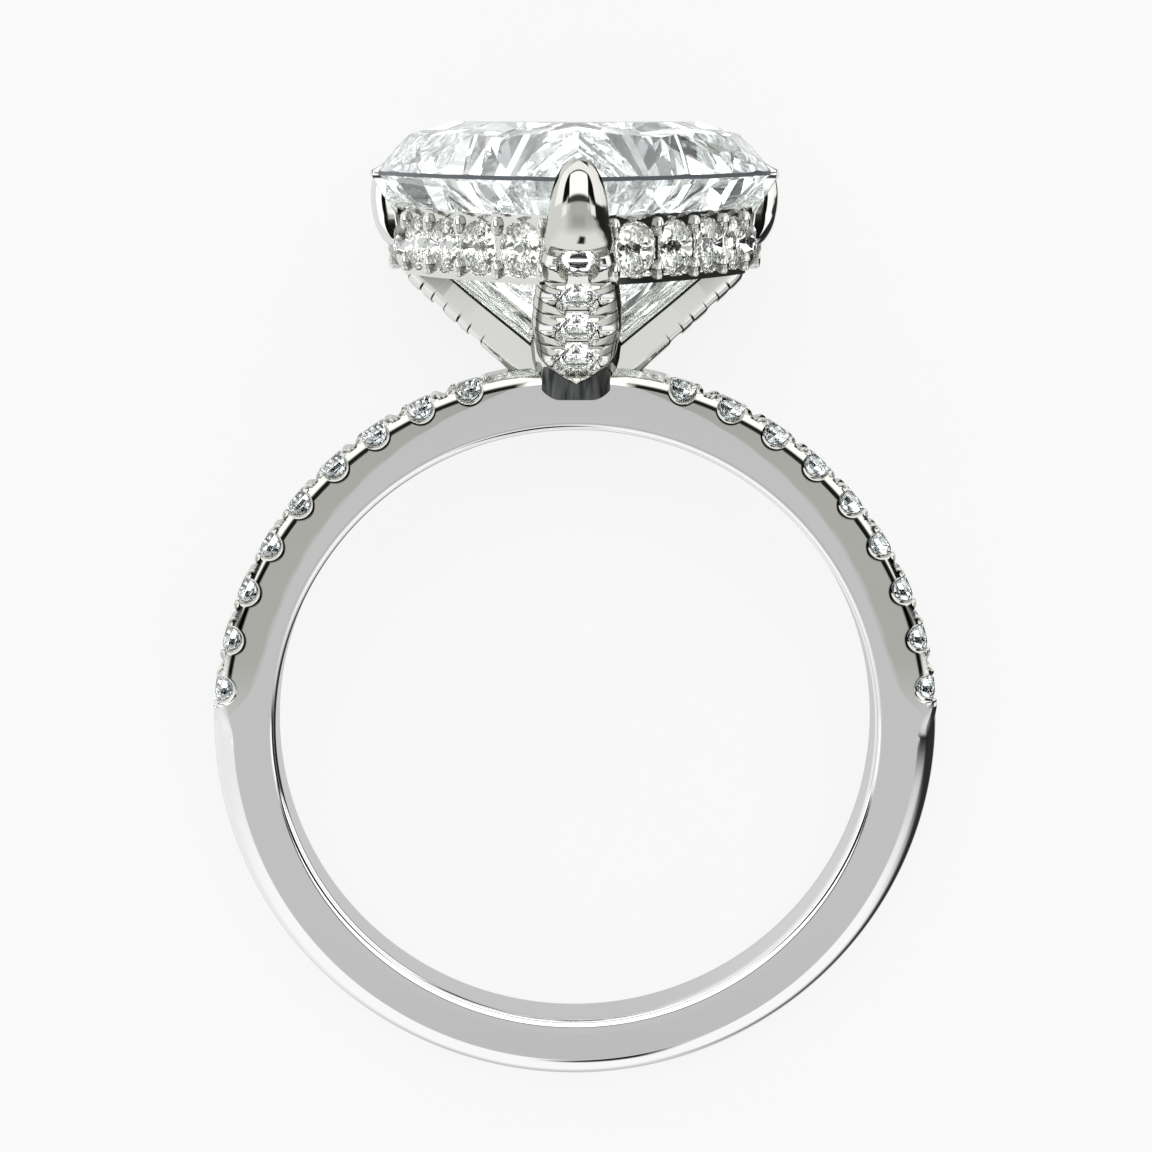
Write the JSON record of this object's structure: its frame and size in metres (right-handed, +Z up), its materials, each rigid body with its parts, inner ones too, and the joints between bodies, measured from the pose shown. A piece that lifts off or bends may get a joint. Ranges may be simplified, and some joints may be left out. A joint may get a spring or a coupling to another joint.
{
  "type": "heart-cut engagement ring",
  "caption": "Finger ring with a heart-cut brilliant held by stone-set claw prongs over a hidden halo, on a slim shank with stone-set shoulders; it lies on its side.",
  "frame": {"origin": "centre of the bounding box in plan, on the surface that the ring lies on", "axes": "+Y from the plain side of the shank to the big stone, along the length of the lying ring; +Z up, nearly along the finger; +X across the finger to the wearer's right as seen from the stone's point"},
  "size_m": [0.02, 0.0266, 0.0116],
  "materials": {
    "metal": "mirror-polished rhodium-plated white gold",
    "heart_stone": "clear faceted diamond",
    "small_stones": "clear faceted diamond"
  },
  "bodies": {
    "root": {"metal": "metal", "heart_stone": "heart_stone", "halo_stones": "small_stones", "left_stone_1": "small_stones", "left_stone_2": "small_stones", "left_stone_3": "small_stones", "left_stone_4": "small_stones", "left_stone_5": "small_stones", "left_stone_6": "small_stones", "left_stone_7": "small_stones", "left_stone_8": "small_stones", "left_stone_9": "small_stones", "right_stone_1": "small_stones", "right_stone_2": "small_stones", "right_stone_3": "small_stones", "right_stone_4": "small_stones", "right_stone_5": "small_stones", "right_stone_6": "small_stones", "right_stone_7": "small_stones", "right_stone_8": "small_stones", "right_stone_9": "small_stones", "front_prong_stone_1": "small_stones", "front_prong_stone_2": "small_stones", "front_prong_stone_3": "small_stones", "front_prong_stone_4": "small_stones", "left_prong_stone_1": "small_stones", "left_prong_stone_2": "small_stones", "left_prong_stone_3": "small_stones", "right_prong_stone_1": "small_stones", "right_prong_stone_2": "small_stones", "right_prong_stone_3": "small_stones", "left_lobe_stone_1": "small_stones", "left_lobe_stone_2": "small_stones", "left_lobe_stone_3": "small_stones", "left_lobe_stone_4": "small_stones", "right_lobe_stone_1": "small_stones", "right_lobe_stone_2": "small_stones", "right_lobe_stone_3": "small_stones", "right_lobe_stone_4": "small_stones"}
  },
  "joints": []
}
